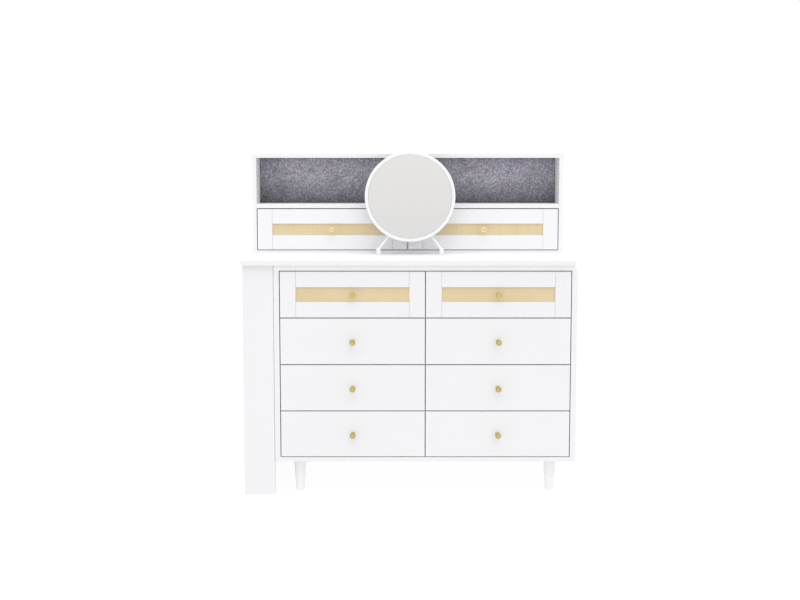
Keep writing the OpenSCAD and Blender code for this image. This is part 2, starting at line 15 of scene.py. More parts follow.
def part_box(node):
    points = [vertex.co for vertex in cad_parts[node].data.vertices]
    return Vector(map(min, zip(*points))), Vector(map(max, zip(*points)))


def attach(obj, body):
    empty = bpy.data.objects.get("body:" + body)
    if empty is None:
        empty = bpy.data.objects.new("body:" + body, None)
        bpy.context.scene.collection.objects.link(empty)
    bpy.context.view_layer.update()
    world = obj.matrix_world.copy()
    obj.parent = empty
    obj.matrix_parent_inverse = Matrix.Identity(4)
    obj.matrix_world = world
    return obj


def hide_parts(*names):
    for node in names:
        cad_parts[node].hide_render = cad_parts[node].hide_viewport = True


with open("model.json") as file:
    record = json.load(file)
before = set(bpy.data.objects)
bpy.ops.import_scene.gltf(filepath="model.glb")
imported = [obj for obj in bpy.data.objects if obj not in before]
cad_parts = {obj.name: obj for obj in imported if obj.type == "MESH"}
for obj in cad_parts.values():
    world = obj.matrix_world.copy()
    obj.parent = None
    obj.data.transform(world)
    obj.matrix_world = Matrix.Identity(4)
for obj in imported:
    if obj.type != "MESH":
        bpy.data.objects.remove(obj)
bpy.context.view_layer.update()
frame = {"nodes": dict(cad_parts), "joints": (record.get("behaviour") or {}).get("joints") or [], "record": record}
slot_of = {s["node"]: s["material_slot"] for s in frame["record"]["subparts"]}
body_of = {n: b for b, names in frame["record"]["behaviour"]["bodies"].items() for n in names}
random.seed(7)

MM = 0.001
FORWARD = (0, -1, 0)
BACKWARD = (0, 1, 0)
UPWARD = (0, 0, 1)


# Strength of the lights, which the floor's own glow depends on

WORLD_LIGHT = 1.03
TOP_LIGHT = 1.5
TOP_LIGHT_WAY = Vector((-0.1, 0.2, -1.0)).normalized()
FLOOR_TONE = 0.06
FLOOR_TONE_SPREAD = 0.005
LIGHT_ON_FLOOR = WORLD_LIGHT - TOP_LIGHT * TOP_LIGHT_WAY.z / math.pi
# The far floor is as bright as the world above it
FLOOR_GLOW = WORLD_LIGHT - FLOOR_TONE * LIGHT_ON_FLOOR


# Shader nodes

def node_setup(name):
    """A material with its node tree, its shader and object coordinates in metres."""
    mat = bpy.data.materials.new(name)
    mat.use_nodes = True
    tree = mat.node_tree
    shader = tree.nodes["Principled BSDF"]
    coords = tree.nodes.new("ShaderNodeTexCoord")
    return mat, tree, shader, coords.outputs["Object"]


def scaled(tree, vector, scale):
    """The coordinates with each axis multiplied by its own factor."""
    mapping = tree.nodes.new("ShaderNodeMapping")
    mapping.inputs["Scale"].default_value = scale
    tree.links.new(vector, mapping.inputs["Vector"])
    return mapping.outputs["Vector"]


def noise_of(tree, vector, scale, detail=2.0, rough=0.5):
    """A noise from about 0.3 to 0.7, finer for a larger scale."""
    tex = tree.nodes.new("ShaderNodeTexNoise")
    tex.inputs["Scale"].default_value = scale
    tex.inputs["Detail"].default_value = detail
    tex.inputs["Roughness"].default_value = rough
    tree.links.new(vector, tex.inputs["Vector"])
    return tex.outputs["Fac"]


def ramp_of(tree, fac, stops):
    """A colour ramp of (place, (r, g, b)) stops."""
    ramp = tree.nodes.new("ShaderNodeValToRGB")
    points = ramp.color_ramp.elements
    while len(points) < len(stops):
        points.new(0.5)
    for point, (place, colour) in zip(points, stops):
        point.position = place
        point.color = (*colour, 1)
    tree.links.new(fac, ramp.inputs["Fac"])
    return ramp.outputs["Color"]


def mix_of(tree, fac, a, b):
    """a and b, two values, blended by a fixed share of b."""
    mix = tree.nodes.new("ShaderNodeMix")
    mix.data_type = "FLOAT"
    mix.inputs["Factor"].default_value = fac
    tree.links.new(a, mix.inputs["A"])
    tree.links.new(b, mix.inputs["B"])
    return mix.outputs["Result"]


def range_of(tree, value, low, high, start=0.0, end=1.0):
    """A value mapped from start to end onto low to high, and held there."""
    node = tree.nodes.new("ShaderNodeMapRange")
    node.inputs["From Min"].default_value = start
    node.inputs["From Max"].default_value = end
    node.inputs["To Min"].default_value = low
    node.inputs["To Max"].default_value = high
    tree.links.new(value, node.inputs["Value"])
    return node.outputs["Result"]


def axes_of(tree, vector):
    """The x, y and z of a vector."""
    node = tree.nodes.new("ShaderNodeSeparateXYZ")
    tree.links.new(vector, node.inputs["Vector"])
    return node.outputs


def product_of(tree, values):
    """The product of two or more values."""
    result = values[0]
    for value in values[1:]:
        node = tree.nodes.new("ShaderNodeMath")
        node.operation = "MULTIPLY"
        tree.links.new(result, node.inputs[0])
        tree.links.new(value, node.inputs[1])
        result = node.outputs["Value"]
    return result


def times_of(tree, colour, factor):
    """A colour multiplied by a value."""
    node = tree.nodes.new("ShaderNodeVectorMath")
    node.operation = "SCALE"
    tree.links.new(colour, node.inputs[0])
    tree.links.new(factor, node.inputs["Scale"])
    return node.outputs["Vector"]


def bump_of(tree, shader, height, distance):
    """Bumps that follow a value, up to a distance high."""
    bump = tree.nodes.new("ShaderNodeBump")
    bump.inputs["Distance"].default_value = distance
    tree.links.new(height, bump.inputs["Height"])
    tree.links.new(bump.outputs["Normal"], shader.inputs["Normal"])


# Materials

PAINT_GLOSS_SPREAD = 0.07
COAT_ROUGH = 0.2
WOOD_STRETCH = (90.0, 4.0, 90.0)
METAL_MARK_DEPTH = 0.03 * MM
BRASS_ROUGH = 0.3
BRASS_RING_SCALE = 5000.0
BRASS_RING_DEPTH = 0.02 * MM
# The radii between which a knob's brass changes from the tone of its face to that of its shoulder, a painted
# reflection and shade
BRASS_FACE_R = 3 * MM
BRASS_SHOULDER_R = 8.5 * MM
CANE_TONES = [(0.30, (0.70, 0.56, 0.33)), (0.50, (0.76, 0.63, 0.39)), (0.70, (0.81, 0.69, 0.45))]
CANE_FIBRE_DEPTH = 0.12 * MM
FELT_TONES = [(0.36, (0.125, 0.117, 0.146)), (0.50, (0.335, 0.321, 0.376)), (0.64, (0.670, 0.647, 0.724))]
FELT_FIBRE_DEPTH = 0.9 * MM
# Painted shade along the felt's edges: its tone at the edge, and how far in it starts and ends to fade
FELT_FOOT_SHADE = (0.38, 5 * MM, 90 * MM)
FELT_TOP_SHADE = (0.94, 0, 30 * MM)
FELT_LEFT_SHADE = (0.72, 0, 130 * MM)
FELT_RIGHT_SHADE = (0.84, 0, 120 * MM)
# The mirror's tone at its foot and at its top: the change between them is a painted reflection
GLASS_FOOT = (0.718, 0.711, 0.704)
GLASS_TOP = (0.778, 0.770, 0.755)


def painted(name, colour, rough, spread=0.03, coat=0.0, skin=260.0, depth=0.04 * MM, shine=0.5):
    """Paint, lacquer, foil or moulded plastic: a little variation in tone and gloss, and a fine skin."""
    mat, tree, shader, co = node_setup(name)
    broad = noise_of(tree, co, 2.3, 3.0)
    darker = tuple(c * (1 - spread) for c in colour)
    tree.links.new(ramp_of(tree, broad, [(0.3, darker), (0.7, colour)]), shader.inputs["Base Color"])
    fine = noise_of(tree, co, skin, 3.0)
    low, high = rough - PAINT_GLOSS_SPREAD, rough + PAINT_GLOSS_SPREAD
    gloss = range_of(tree, mix_of(tree, 0.5, broad, fine), low, high)
    tree.links.new(gloss, shader.inputs["Roughness"])
    shader.inputs["Coat Weight"].default_value = coat
    shader.inputs["Coat Roughness"].default_value = COAT_ROUGH
    shader.inputs["Specular IOR Level"].default_value = shine
    bump_of(tree, shader, fine, depth)
    return mat


def matt_lacquer(name, tone):
    """White lacquer, a touch blue, that barely shines even at a low angle."""
    return painted(name, (tone, tone, tone + 0.015), 0.75, spread=0.01, shine=0.2)


def wood(name, dark, light):
    """Plain wood with its grain from front to back."""
    mat, tree, shader, co = node_setup(name)
    grain = noise_of(tree, scaled(tree, co, WOOD_STRETCH), 1.0, 6.0, 0.6)
    tree.links.new(ramp_of(tree, grain, [(0.35, dark), (0.65, light)]), shader.inputs["Base Color"])
    tree.links.new(range_of(tree, grain, 0.5, 0.68), shader.inputs["Roughness"])
    bump_of(tree, shader, grain, 0.2 * MM)
    return mat


def finish_metal(tree, shader, colour, marks, rough, depth):
    """Links the colour of a metal, and its marks to its gloss and bumps."""
    tree.links.new(colour, shader.inputs["Base Color"])
    tree.links.new(range_of(tree, marks, rough - 0.06, rough + 0.08), shader.inputs["Roughness"])
    shader.inputs["Metallic"].default_value = 1.0
    bump_of(tree, shader, marks, depth)


def metal(name, dark, light, rough, scale, stretch=(1.0, 1.0, 1.0)):
    """Metal with fine marks, drawn out along the axis that has the smallest factor."""
    mat, tree, shader, co = node_setup(name)
    marks = noise_of(tree, scaled(tree, co, stretch), scale, 5.0, 0.6)
    colour = ramp_of(tree, marks, [(0.3, dark), (0.7, light)])
    finish_metal(tree, shader, colour, marks, rough, METAL_MARK_DEPTH)
    return mat


def turned_brass(name, face, shoulder):
    """Satin brass with fine turning rings, whose tone changes from the face of the knob to its shoulder as a
    painted reflection and shade.
    """
    mat, tree, shader, co = node_setup(name)
    length = tree.nodes.new("ShaderNodeVectorMath")
    length.operation = "LENGTH"
    tree.links.new(scaled(tree, co, (1.0, 0.0, 1.0)), length.inputs[0])
    radius = length.outputs["Value"]
    # Painted reflection and shade: the tone of the face fades into that of the shoulder
    outward = range_of(tree, radius, 0.0, 1.0, BRASS_FACE_R, BRASS_SHOULDER_R)
    tone = ramp_of(tree, outward, [(0.0, face), (1.0, shoulder)])
    haze = range_of(tree, noise_of(tree, co, 260.0, 3.0), 0.94, 1.04, 0.3, 0.7)
    rings = tree.nodes.new("ShaderNodeTexNoise")
    rings.noise_dimensions = "1D"
    rings.inputs["Scale"].default_value = BRASS_RING_SCALE
    tree.links.new(radius, rings.inputs["W"])
    marks = rings.outputs["Fac"]
    finish_metal(tree, shader, times_of(tree, tone, haze), marks, BRASS_ROUGH, BRASS_RING_DEPTH)
    return mat


def cane_fibre(name):
    """Split cane: each strand has its own tone, with fine fibres along it."""
    mat, tree, shader, co = node_setup(name)
    strand = noise_of(tree, scaled(tree, co, (420.0, 60.0, 1.5)), 1.0, 2.0)
    patch = noise_of(tree, co, 14.0, 3.0)
    fibre = noise_of(tree, scaled(tree, co, (4200.0, 4200.0, 130.0)), 1.0, 3.0, 0.7)
    blend = mix_of(tree, 0.3, mix_of(tree, 0.4, strand, patch), fibre)
    tree.links.new(ramp_of(tree, blend, CANE_TONES), shader.inputs["Base Color"])
    tree.links.new(range_of(tree, fibre, 0.42, 0.62), shader.inputs["Roughness"])
    bump_of(tree, shader, fibre, CANE_FIBRE_DEPTH)
    return mat


def edge_shade(tree, place, edge, inward, shade):
    """A factor that rises to 1 from an edge, inward being 1 or -1, the way that place runs from it."""
    tone, start, end = shade
    if inward > 0:
        return range_of(tree, place, tone, 1.0, edge + start, edge + end)
    return range_of(tree, place, 1.0, tone, edge - end, edge - start)


def felt_fibre(name, low, high):
    """Mottled grey felt: fibres of several tones in clumps, with painted shade that darkens it along the edges of
    its box.
    """
    mat, tree, shader, co = node_setup(name)
    clump = noise_of(tree, co, 185.0, 4.0, 0.65)
    speck = noise_of(tree, co, 420.0, 3.0, 0.7)
    cloud = noise_of(tree, co, 14.0, 2.0)
    mottle = mix_of(tree, 0.35, clump, speck)
    tone = ramp_of(tree, mix_of(tree, 0.1, mottle, cloud), FELT_TONES)
    place = axes_of(tree, co)
    shade = product_of(tree, [edge_shade(tree, place["Z"], low.z, 1, FELT_FOOT_SHADE),
                              edge_shade(tree, place["Z"], high.z, -1, FELT_TOP_SHADE),
                              edge_shade(tree, place["X"], low.x, 1, FELT_LEFT_SHADE),
                              edge_shade(tree, place["X"], high.x, -1, FELT_RIGHT_SHADE)])
    tree.links.new(times_of(tree, tone, shade), shader.inputs["Base Color"])
    tree.links.new(range_of(tree, speck, 0.88, 1.0), shader.inputs["Roughness"])
    shader.inputs["Sheen Weight"].default_value = 0.25
    shader.inputs["Sheen Roughness"].default_value = 0.6
    shader.inputs["Specular IOR Level"].default_value = 0.2
    bump_of(tree, shader, mottle, FELT_FIBRE_DEPTH)
    return mat


def silvered_glass(name, low, high):
    """A mirror: a painted reflection makes it a touch paler towards the top, with the faintest unevenness."""
    mat, tree, shader, co = node_setup(name)
    faint = noise_of(tree, co, 6.0, 2.0)
    # Painted reflection: the glass grows paler from its foot to its top
    up = range_of(tree, axes_of(tree, co)["Z"], 0.0, 1.0, low.z, high.z)
    tone = ramp_of(tree, mix_of(tree, 0.08, up, faint), [(0.0, GLASS_FOOT), (1.0, GLASS_TOP)])
    tree.links.new(tone, shader.inputs["Base Color"])
    tree.links.new(range_of(tree, faint, 0.012, 0.03), shader.inputs["Roughness"])
    shader.inputs["Metallic"].default_value = 1.0
    return mat


def pale_floor(name):
    """A white floor that glows faintly, like the lit table of a photo studio."""
    mat, tree, shader, co = node_setup(name)
    broad = noise_of(tree, co, 1.3, 2.0)
    tones = [(0.3, (FLOOR_TONE,) * 3), (0.7, (FLOOR_TONE + FLOOR_TONE_SPREAD,) * 3)]
    tree.links.new(ramp_of(tree, broad, tones), shader.inputs["Base Color"])
    tree.links.new(range_of(tree, broad, 0.8, 0.9), shader.inputs["Roughness"])
    shader.inputs["Specular IOR Level"].default_value = 0.0
    shader.inputs["Emission Color"].default_value = (1, 1, 1, 1)
    shader.inputs["Emission Strength"].default_value = FLOOR_GLOW
    return mat


MATERIALS = {
    "white_lacquer": matt_lacquer("white_lacquer", 0.8),
    "inner_board": painted("inner_board", (0.70, 0.70, 0.705), 0.5, skin=420.0, depth=0.06 * MM),
    "cane": cane_fibre("cane"),
    "knob_brass": turned_brass("knob_brass", (0.66, 0.53, 0.175), (0.45, 0.375, 0.125)),
    "runner_beech": wood("runner_beech", (0.47, 0.31, 0.17), (0.63, 0.44, 0.26)),
    "bolt_steel": metal("bolt_steel", (0.5, 0.5, 0.52), (0.64, 0.64, 0.66), 0.35, 700.0),
    "track_aluminium": metal("track_aluminium", (0.62, 0.62, 0.64), (0.74, 0.74, 0.76), 0.36, 300.0,
                             stretch=(0.03, 1.0, 1.0)),
    "tongue_plastic": painted("tongue_plastic", (0.05, 0.05, 0.055), 0.5, spread=0.1),
    "grey_felt": felt_fibre("grey_felt", *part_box("felt_panel")),
    "stand_enamel": painted("stand_enamel", (0.86, 0.86, 0.865), 0.3, spread=0.01, coat=0.3, skin=180.0,
                            depth=0.05 * MM),
    "cap_plastic": painted("cap_plastic", (0.84, 0.84, 0.855), 0.4, spread=0.02),
    "mirror_rim_plastic": painted("mirror_rim_plastic", (0.84, 0.84, 0.845), 0.3, spread=0.01, coat=0.3),
    "mirror_glass": silvered_glass("mirror_glass", *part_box("mirror_glass")),
}
# Copies of the knob brass toned paler and flatter: painted light
PALE_BRASS = turned_brass("pale_brass", (0.78, 0.62, 0.27), (0.90, 0.76, 0.44))
SOFT_BRASS = turned_brass("soft_brass", (0.65, 0.54, 0.185), (0.58, 0.49, 0.19))
# The knobs on cane get copies of the brass with painted light: paler on the hutch, flatter on the chest's caned
# drawers
KNOB_PAINTED_LIGHT_BRASS = {"drawer_1": SOFT_BRASS, "drawer_2": SOFT_BRASS,
               "hutch_drawer_1": PALE_BRASS, "hutch_drawer_2": PALE_BRASS}
# Copies of the white lacquer painted paler: painted light on the hutch, and on the feet and the chest's top board,
# which lie in shade
HUTCH_PAINTED_LIGHT_LACQUER = matt_lacquer("hutch_painted_light_lacquer", 0.82)
PALE_PAINTED_LIGHT_LACQUER = matt_lacquer("pale_painted_light_lacquer", 0.87)
PAINTED_LIGHT_NODES = ("feet", "chest_top_board")


def finish_or_painted_light_of(node):
    """The finish of a node: that of its slot, or one of two copies of the white lacquer painted paler, painted
    light for boards that lie in shade.
    """
    if slot_of[node] != "white_lacquer":
        return MATERIALS[slot_of[node]]
    if node.startswith("hutch"):
        return HUTCH_PAINTED_LIGHT_LACQUER
    return PALE_PAINTED_LIGHT_LACQUER if node in PAINTED_LIGHT_NODES else MATERIALS["white_lacquer"]


for node_name, node_object in frame["nodes"].items():
    node_object.data.materials.clear()
    node_object.data.materials.append(finish_or_painted_light_of(node_name))


# Mesh helpers

ON_AXIS = 1e-7
LATHE_TURNS = 64
ARC_STEPS = 5
BEVEL_STEPS = 3


def piece(name, mesh, node, slot=None, material=None, origin=(0, 0, 0)):
    """An object that stands for a node and rides on its body, with the node's finish or another."""
    obj = bpy.data.objects.new(name, mesh)
    obj.location = origin
    bpy.context.scene.collection.objects.link(obj)
    mesh.materials.append(material or (MATERIALS[slot] if slot else finish_or_painted_light_of(node)))
    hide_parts(node)
    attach(obj, body_of[node])
    return obj


def mesh_from(name, bm):
    """A smooth-shaded mesh of what was built."""
    mesh = bpy.data.meshes.new(name)
    bm.normal_update()
    bm.to_mesh(mesh)
    bm.free()
    mesh.shade_smooth()
    return mesh


def hard_faces_flat(mesh):
    """The mesh with its flats shaded flat, and only the edges between them shaded round."""
    obj = bpy.data.objects.new("shading", mesh)
    bpy.context.scene.collection.objects.link(obj)
    modifier = obj.modifiers.new("weighted", "WEIGHTED_NORMAL")
    modifier.weight = 100
    modifier.keep_sharp = True
    depsgraph = bpy.context.evaluated_depsgraph_get()
    shaded = bpy.data.meshes.new_from_object(obj.evaluated_get(depsgraph))
    shaded.name = mesh.name
    bpy.data.objects.remove(obj)
    return shaded


def add_board(bm, low, high, radius, steps=BEVEL_STEPS):
    """A board whose edges are rounded to a radius."""
    low, high = Vector(low), Vector(high)
    made = bmesh.ops.create_cube(bm, size=1.0)
    bmesh.ops.scale(bm, vec=high - low, verts=made["verts"])
    bmesh.ops.translate(bm, vec=(low + high) / 2, verts=made["verts"])
    edges = list({e for v in made["verts"] for e in v.link_edges})
    bmesh.ops.bevel(bm, geom=edges, offset=radius, segments=steps, profile=0.5, affect="EDGES")


def boards_piece(node, boxes, radius):
    """A node's boards, one for each pair of corners, as one piece."""
    name = f"{node}_finish"
    bm = bmesh.new()
    for low, high in boxes:
        add_board(bm, low, high, radius)
    piece(name, hard_faces_flat(mesh_from(name, bm)), node)


def lathe(bm, profile, centre, axis, turns=LATHE_TURNS):
    """Turns a profile of (radius, height) points round an axis through centre, and returns its rings."""
    axis = Vector(axis).normalized()
    side = axis.orthogonal().normalized()
    up = axis.cross(side)
    angles = [2 * math.pi * i / turns for i in range(turns)]
    rings = []
    for radius, height in profile:
        middle = Vector(centre) + axis * height
        if radius < ON_AXIS:
            rings.append([bm.verts.new(middle)])
        else:
            rings.append([bm.verts.new(middle + radius * (side * math.cos(a) + up * math.sin(a)))
                          for a in angles])
    for lower, upper in zip(rings, rings[1:]):
        for i in range(turns):
            j = (i + 1) % turns
            if len(lower) == 1:
                bm.faces.new((lower[0], upper[j], upper[i]))
            elif len(upper) == 1:
                bm.faces.new((lower[i], lower[j], upper[0]))
            else:
                bm.faces.new((lower[i], lower[j], upper[j], upper[i]))
    return rings


def turned_piece(name, bm, node):
    """A piece of lathed forms, its faces turned outward."""
    bmesh.ops.recalc_face_normals(bm, faces=bm.faces)
    piece(name, hard_faces_flat(mesh_from(node, bm)), node)


def arc(centre, radius, start, end, steps=ARC_STEPS):
    """Points of an arc in a profile, from angle start to end in degrees, 0 along +radius and 90 up."""
    angles = (math.radians(start + (end - start) * i / steps) for i in range(steps + 1))
    return [(centre[0] + radius * math.cos(a), centre[1] + radius * math.sin(a)) for a in angles]


def middle_of(node):
    """The middle of a node's box."""
    low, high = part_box(node)
    return (low + high) / 2


# Boards

EDGE = 0.8 * MM
DESK_EDGE = 1.1 * MM
FRONT_EDGE = 0.35 * MM
# How far a drawer's front stays inside its solid at its four edges
FRONT_SLIM = 0.5 * MM
GLUE = 0.1 * MM
# The open joint between a stile and a rail
JOINT = 0.55 * MM
SQUARE_BOARDS = ["chest_left_side", "chest_right_side", "chest_bottom_board",
                 "hutch_top_board", "hutch_shelf", "hutch_bottom_board",
                 "leg_front_board", "leg_side_board", "leg_back_board"]
CANED = ["drawer_1", "drawer_2", "hutch_drawer_1", "hutch_drawer_2"]
PLAIN = [f"drawer_{i}" for i in range(3, 9)]


def simple_boards():
    """Finer edges on the boards that are plain boxes."""
    for name in SQUARE_BOARDS:
        boards_piece(name, [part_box(name)], EDGE)
    boards_piece("desk_board", [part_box("desk_board")], DESK_EDGE)
    low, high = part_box("hutch_sides")
    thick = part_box("felt_panel")[0].x - low.x
    left = (low, (low.x + thick, high.y, high.z))
    right = ((high.x - thick, low.y, low.z), high)
    boards_piece("hutch_sides", [left, right], EDGE)


def front_box(name):
    """The corners of a drawer's front, a hair inside its solid at its four edges."""
    low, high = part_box(f"{name}_front")
    hair = Vector((FRONT_SLIM, 0, FRONT_SLIM))
    return low + hair, high - hair


def framed_front(name):
    """Two stiles, two rails with an open joint at each end, and the panel behind the cane."""
    low, high = front_box(name)
    cane_low, cane_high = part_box(f"{name}_cane")
    member = cane_low.x - GLUE - low.x
    rail_start, rail_end = low.x + member + JOINT, high.x - member - JOINT
    left_stile = (low, (low.x + member, high.y, high.z))
    right_stile = ((high.x - member, low.y, low.z), high)
    lower_rail = ((rail_start, low.y, low.z), (rail_end, high.y, low.z + member))
    upper_rail = ((rail_start, low.y, high.z - member), (rail_end, high.y, high.z))
    panel = ((cane_low.x, cane_high.y, cane_low.z), (cane_high.x, high.y, cane_high.z))
    boards_piece(f"{name}_front", [left_stile, right_stile, lower_rail, upper_rail, panel], FRONT_EDGE)


def drawer_fronts():
    """The six plain fronts and the four framed ones."""
    for name in PLAIN:
        boards_piece(f"{name}_front", [front_box(name)], FRONT_EDGE)
    for name in CANED:
        framed_front(name)


# Cane

STRAND = 2.5 * MM
STRAND_GAP = 0.15 * MM
# A strand is crowned: the share of its width at each side that falls back, and by how much
STRAND_SHOULDER = 0.22
STRAND_CROWN = 0.06 * MM
STRAND_EDGE = 0.35 * MM
# How deep a strand lies where it passes under a binder, how far it comes forward over the next, and
# how much one strand may lie deeper than another
STRAND_DEEP = 0.75 * MM
STRAND_SWING = 0.4 * MM
STRAND_LEAN = 0.06 * MM
STEPS_PER_BINDER = 4
BINDER = 0.9 * MM
BINDER_PITCH = 5.4 * MM
BINDER_EDGE = 0.2 * MM
BINDER_DEEP = 0.62 * MM
BINDER_SWING = 0.5 * MM
BACKING_DEEP = 1.35 * MM
BACKING_EDGE = 0.1 * MM


def woven_cane(name):
    """Upright flat strands, side by side, bound by thin ones that pass over and under them."""
    node = f"{name}_cane"
    low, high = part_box(node)
    count = round((high.x - low.x) / STRAND)
    pitch = (high.x - low.x) / count
    rows = round((high.z - low.z) / BINDER_PITCH)
    row_pitch = (high.z - low.z) / rows
    steps = rows * STEPS_PER_BINDER
    bm = bmesh.new()

    def wave(column, z):
        """How far a strand lies forward at this height, from 0 to 1."""
        return 0.5 + 0.5 * math.cos(math.pi * ((z - low.z) / row_pitch - 0.5) + math.pi * (column % 2))

    def strip(lines):
        """Faces between each line of vertices and the next."""
        for line, following in zip(lines, lines[1:]):
            for a in range(len(line) - 1):
                bm.faces.new((line[a], line[a + 1], following[a + 1], following[a]))

    for column in range(count):
        x0 = low.x + column * pitch + STRAND_GAP / 2
        x1 = low.x + (column + 1) * pitch - STRAND_GAP / 2
        shoulder = STRAND_SHOULDER * pitch
        section = [(x0, STRAND_EDGE), (x0 + shoulder, STRAND_CROWN), (x1 - shoulder, STRAND_CROWN),
                   (x1, STRAND_EDGE)]
        lean = random.uniform(-STRAND_LEAN, STRAND_LEAN)
        lines = []
        for k in range(steps + 1):
            z = low.z + (high.z - low.z) * k / steps
            y = low.y + STRAND_DEEP - STRAND_SWING * wave(column, z) + lean
            lines.append([bm.verts.new((x, y + dy, z)) for x, dy in section])
        strip(lines)
    for row in range(rows):
        z = low.z + (row + 0.5) * row_pitch
        lines = []
        for k in range(2 * count + 1):
            # Odd steps lie on the middle of a strand, even ones between two strands
            forward = 1 - wave((k - 1) // 2, z) if k % 2 else 0.5
            x = low.x + pitch * k / 2
            y = low.y + BINDER_DEEP - BINDER_SWING * forward
            lines.append([bm.verts.new((x, y + dy, z + dz)) for dz, dy in (
                (BINDER / 2, BINDER_EDGE), (0.0, 0.0), (-BINDER / 2, BINDER_EDGE))])
        strip(lines)
    add_board(bm, (low.x, low.y + BACKING_DEEP, low.z), high, BACKING_EDGE, 1)
    piece(f"{name}_woven_cane", mesh_from(node, bm), node)


# Knobs, screws and feet

# How much smaller a knob's radius is than its solid's
KNOB_SLIM = 1.0 * MM
KNOB_REACH = 25 * MM
KNOB_HEAD = 7 * MM
KNOB_EDGE = 1.2 * MM
KNOB_RIM = 2 * MM
KNOB_DISH = 0.8 * MM
KNOB_DISH_EDGE = 0.3 * MM
STEM_R = 4.5 * MM
STEM_FOOT_ROUND = 1.5 * MM
STEM_HEAD_ROUND = 2.5 * MM
BASE_R = 7 * MM
BASE_T = 2 * MM
SCREW_HEAD_R = 4 * MM
SCREW_HEAD_T = 2.2 * MM
SCREW_HEAD_EDGE = 0.8 * MM
SCREW_TURNS = 32
# The cross recess: half the length and half the width of an arm, its depth, and the share left at its floor
RECESS_ARM = 2.1 * MM
RECESS_HALF = 0.45 * MM
RECESS_DEPTH = 1.3 * MM
RECESS_FLOOR = 0.6


def turned_knob(name):
    """A turned knob with a dished face, its origin at its seat, so that its finish turns round its axis."""
    node = f"{name}_knob"
    low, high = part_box(node)
    head_r = (high.x - low.x) / 2 - KNOB_SLIM
    neck = KNOB_REACH - KNOB_HEAD
    dish_r = head_r - KNOB_EDGE - KNOB_RIM
    dish_floor = KNOB_REACH - KNOB_DISH
    profile = [(0.0, 0.0), (BASE_R, 0.0)]
    profile += arc((BASE_R - KNOB_DISH, BASE_T - KNOB_DISH), KNOB_DISH, 0, 90)
    profile += arc((STEM_R + STEM_FOOT_ROUND, BASE_T + STEM_FOOT_ROUND), STEM_FOOT_ROUND, 270, 180)
    profile += arc((STEM_R + STEM_HEAD_ROUND, neck - STEM_HEAD_ROUND), STEM_HEAD_ROUND, 180, 90)
    profile += arc((head_r - KNOB_EDGE, neck + KNOB_EDGE), KNOB_EDGE, 270, 360)
    profile += arc((head_r - KNOB_EDGE, KNOB_REACH - KNOB_EDGE), KNOB_EDGE, 0, 90)
    profile += [(dish_r + KNOB_DISH_EDGE, KNOB_REACH)]
    profile += arc((dish_r - KNOB_DISH, KNOB_REACH), KNOB_DISH, 0, -90)
    profile += [(dish_r / 2, dish_floor), (0.0, dish_floor)]
    bm = bmesh.new()
    lathe(bm, profile, (0, 0, 0), FORWARD)
    centre = middle_of(node)
    seat = (centre.x, low.y + KNOB_REACH, centre.z)
    mesh = mesh_from(node, bm)
    piece(f"{name}_turned_knob", mesh, node, material=KNOB_PAINTED_LIGHT_BRASS.get(name), origin=seat)


def knob_screw(name):
    """The head of the screw that holds a knob, behind the drawer front, with its cross recess."""
    node = f"{name}_knob"
    centre = middle_of(node)
    base = Vector((centre.x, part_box(node)[1].y - SCREW_HEAD_T, centre.z))
    profile = [(0.0, 0.0), (SCREW_HEAD_R, 0.0)]
    profile += arc((SCREW_HEAD_R - SCREW_HEAD_EDGE, SCREW_HEAD_T - SCREW_HEAD_EDGE), SCREW_HEAD_EDGE, 0, 90)
    bm = bmesh.new()
    outer = lathe(bm, profile, base, BACKWARD, SCREW_TURNS)[-1]
    quarter = [(RECESS_HALF, RECESS_HALF), (RECESS_ARM, RECESS_HALF), (RECESS_ARM, -RECESS_HALF)]
    cross = []
    for _ in range(4):
        cross += quarter
        quarter = [(z, -x) for x, z in quarter]
    recess_floor = SCREW_HEAD_T - RECESS_DEPTH
    narrow = [(RECESS_FLOOR * x, RECESS_FLOOR * z) for x, z in cross]
    mouth = [bm.verts.new(base + Vector((x, SCREW_HEAD_T, z))) for x, z in cross]
    floor = [bm.verts.new(base + Vector((x, recess_floor, z))) for x, z in narrow]
    for k in range(len(cross)):
        m = (k + 1) % len(cross)
        bm.faces.new((mouth[k], mouth[m], floor[m], floor[k]))
    bm.faces.new(floor)
    edges = [bm.edges.get(pair) for ring in (outer, mouth) for pair in zip(ring[-1:] + ring, ring)]
    bmesh.ops.triangle_fill(bm, use_beauty=True, edges=edges)
    bmesh.ops.recalc_face_normals(bm, faces=bm.faces)
    mesh = hard_faces_flat(mesh_from(f"{name}_screw", bm))
    piece(f"{name}_knob_screw", mesh, node, slot="bolt_steel")


FOOT_TOP_R = 21 * MM
FOOT_BOTTOM_R = 13.5 * MM
FOOT_EDGE = 1.5 * MM


def turned_feet():
    """Tapered feet with a soft lower edge."""
    low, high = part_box("feet")
    height = high.z - low.z
    profile = [(0.0, 0.0)] + arc((FOOT_BOTTOM_R - FOOT_EDGE, FOOT_EDGE), FOOT_EDGE, 270, 360)
    profile += [(FOOT_TOP_R, height), (0.0, height)]
    bm = bmesh.new()
    for x in (low.x + FOOT_TOP_R, high.x - FOOT_TOP_R):
        for y in (low.y + FOOT_TOP_R, high.y - FOOT_TOP_R):
            lathe(bm, profile, (x, y, low.z), UPWARD)
    turned_piece("turned_feet", bm, "feet")


# Felt

FELT_CELL = 2.2 * MM
FELT_ROLL = 2.5 * MM
# How far the smooth felt lies inside its box, which leaves room for the fuzz
FELT_SINK = 0.25 * MM
FUZZ = 0.16 * MM
FUZZ_SCALE = 330
FINE_FUZZ_SCALE = 900
FINE_FUZZ_SHARE = 0.5
# The planes of the noise that the two fuzzes are taken from
FUZZ_PLANE = 0.3
FINE_FUZZ_PLANE = 1.3


